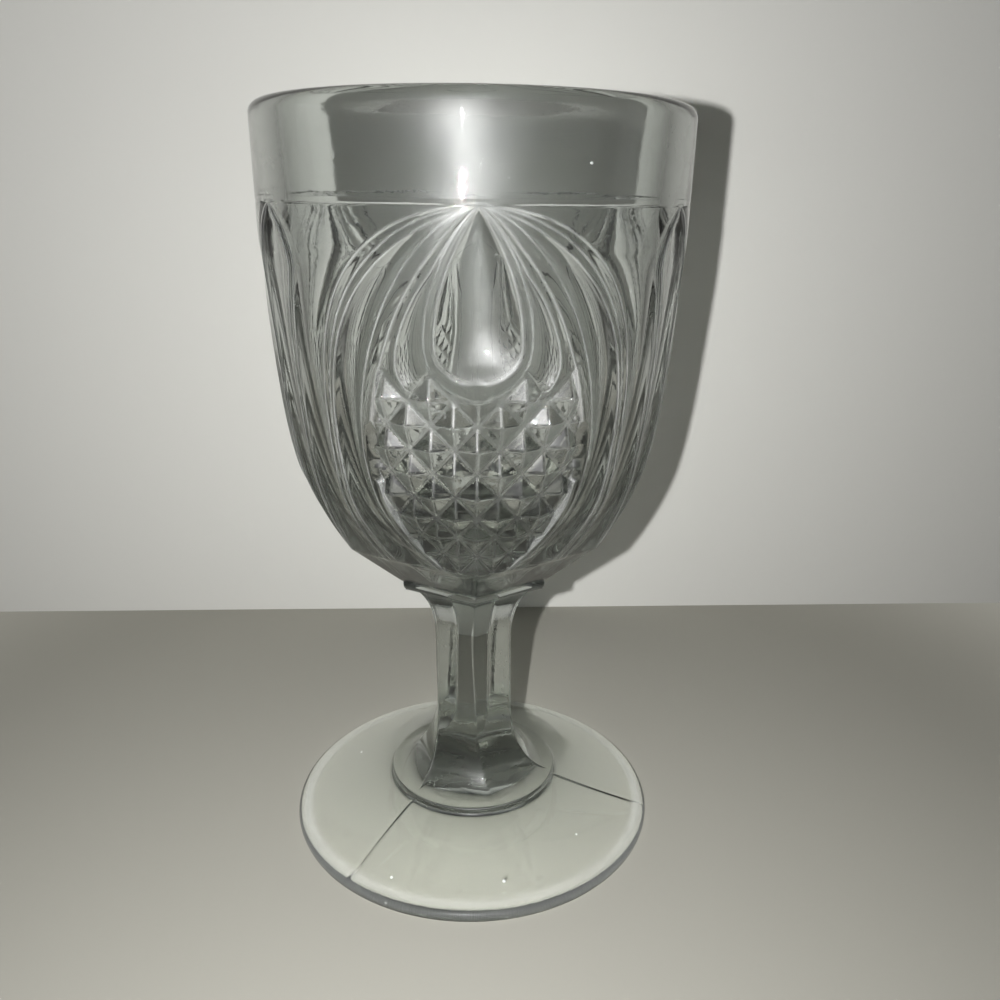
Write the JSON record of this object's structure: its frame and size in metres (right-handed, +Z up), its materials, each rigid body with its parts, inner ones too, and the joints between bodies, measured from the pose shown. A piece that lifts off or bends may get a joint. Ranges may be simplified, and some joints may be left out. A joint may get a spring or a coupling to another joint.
{
  "type": "water goblet",
  "caption": "Clear pressed-glass water goblet with a looped diamond-point bowl, six-sided stem and round foot.",
  "frame": {"origin": "centre of the foot's underside, on the surface that the goblet stands on", "axes": "+Z up the stem to the rim, -Y towards the middle of one looped panel, +X to its right"},
  "size_m": [0.082, 0.082, 0.152],
  "materials": {
    "glass": "clear fire-polished pressed glass"
  },
  "bodies": {
    "root": {"rim": "glass", "bowl": "glass", "collar": "glass", "stem": "glass", "base": "glass", "foot": "glass"}
  },
  "joints": []
}
